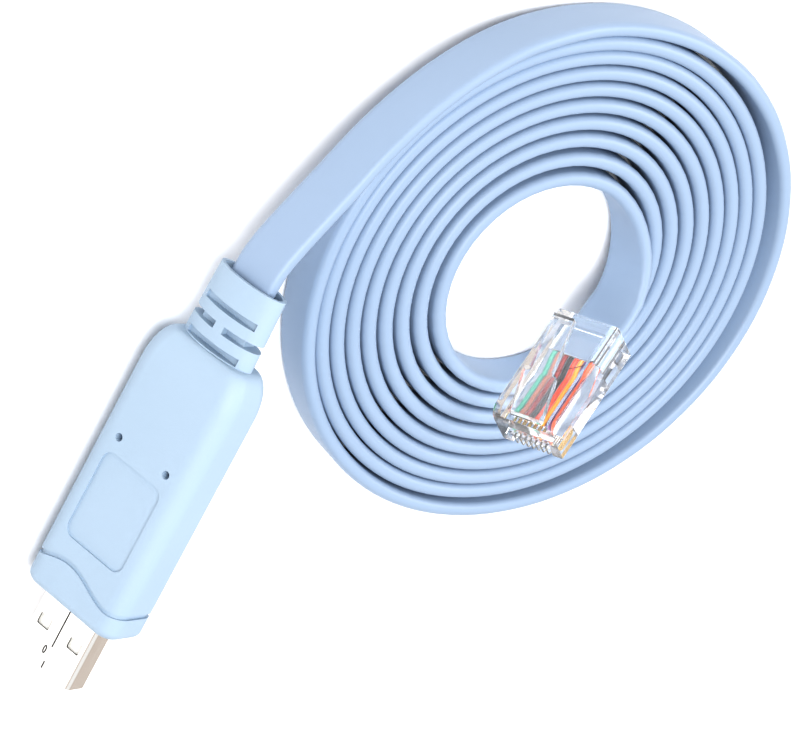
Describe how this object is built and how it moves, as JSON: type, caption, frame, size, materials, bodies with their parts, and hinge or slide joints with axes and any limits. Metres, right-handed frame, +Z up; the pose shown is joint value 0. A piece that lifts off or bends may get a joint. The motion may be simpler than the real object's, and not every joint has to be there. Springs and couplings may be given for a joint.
{
  "type": "usb to rj45 console cable",
  "caption": "Flat pale blue console cable wound in one flat coil, with a moulded USB-A plug on its outer end and a clear RJ45 plug on its inner end.",
  "frame": {"origin": "on the floor, under the middle of the box that holds the two plugs", "axes": "+Z up out of the floor along the coil's axis; -X the way the USB plug points; +Y from the coil towards the USB plug"},
  "size_m": [0.1298, 0.1095, 0.0254],
  "materials": {
    "steel": "bright nickel-plated stamped steel, lightly brushed",
    "insulator": "white moulded plastic",
    "gold": "gold-plated contact metal",
    "overmold": "pale blue soft-touch moulded PVC, fine satin texture",
    "jacket": "pale blue PVC cable jacket, soft satin sheen",
    "clear": "clear moulded polycarbonate, glossy",
    "wire_green": "green conductor insulation",
    "wire_brown": "brown conductor insulation",
    "wire_red": "red conductor insulation",
    "wire_black": "black conductor insulation",
    "wire_orange": "orange conductor insulation",
    "wire_yellow": "yellow conductor insulation",
    "wire_purple": "purple conductor insulation",
    "wire_coral": "coral conductor insulation"
  },
  "bodies": {
    "root": {"usb_shell": "steel", "usb_insulator": "insulator", "usb_contact_1": "gold", "usb_contact_2": "gold", "usb_contact_3": "gold", "usb_contact_4": "gold", "usb_overmold": "overmold", "cable_lead": "jacket", "cable_coil": "jacket", "cable_tail": "jacket", "cable_end": "jacket", "rj45_body": "clear", "rj45_contact_1": "gold", "rj45_contact_2": "gold", "rj45_contact_3": "gold", "rj45_contact_4": "gold", "rj45_contact_5": "gold", "rj45_contact_6": "gold", "rj45_contact_7": "gold", "rj45_contact_8": "gold", "wire_green": "wire_green", "wire_brown": "wire_brown", "wire_red": "wire_red", "wire_black": "wire_black", "wire_orange": "wire_orange", "wire_yellow": "wire_yellow", "wire_purple": "wire_purple", "wire_coral": "wire_coral"}
  },
  "joints": []
}
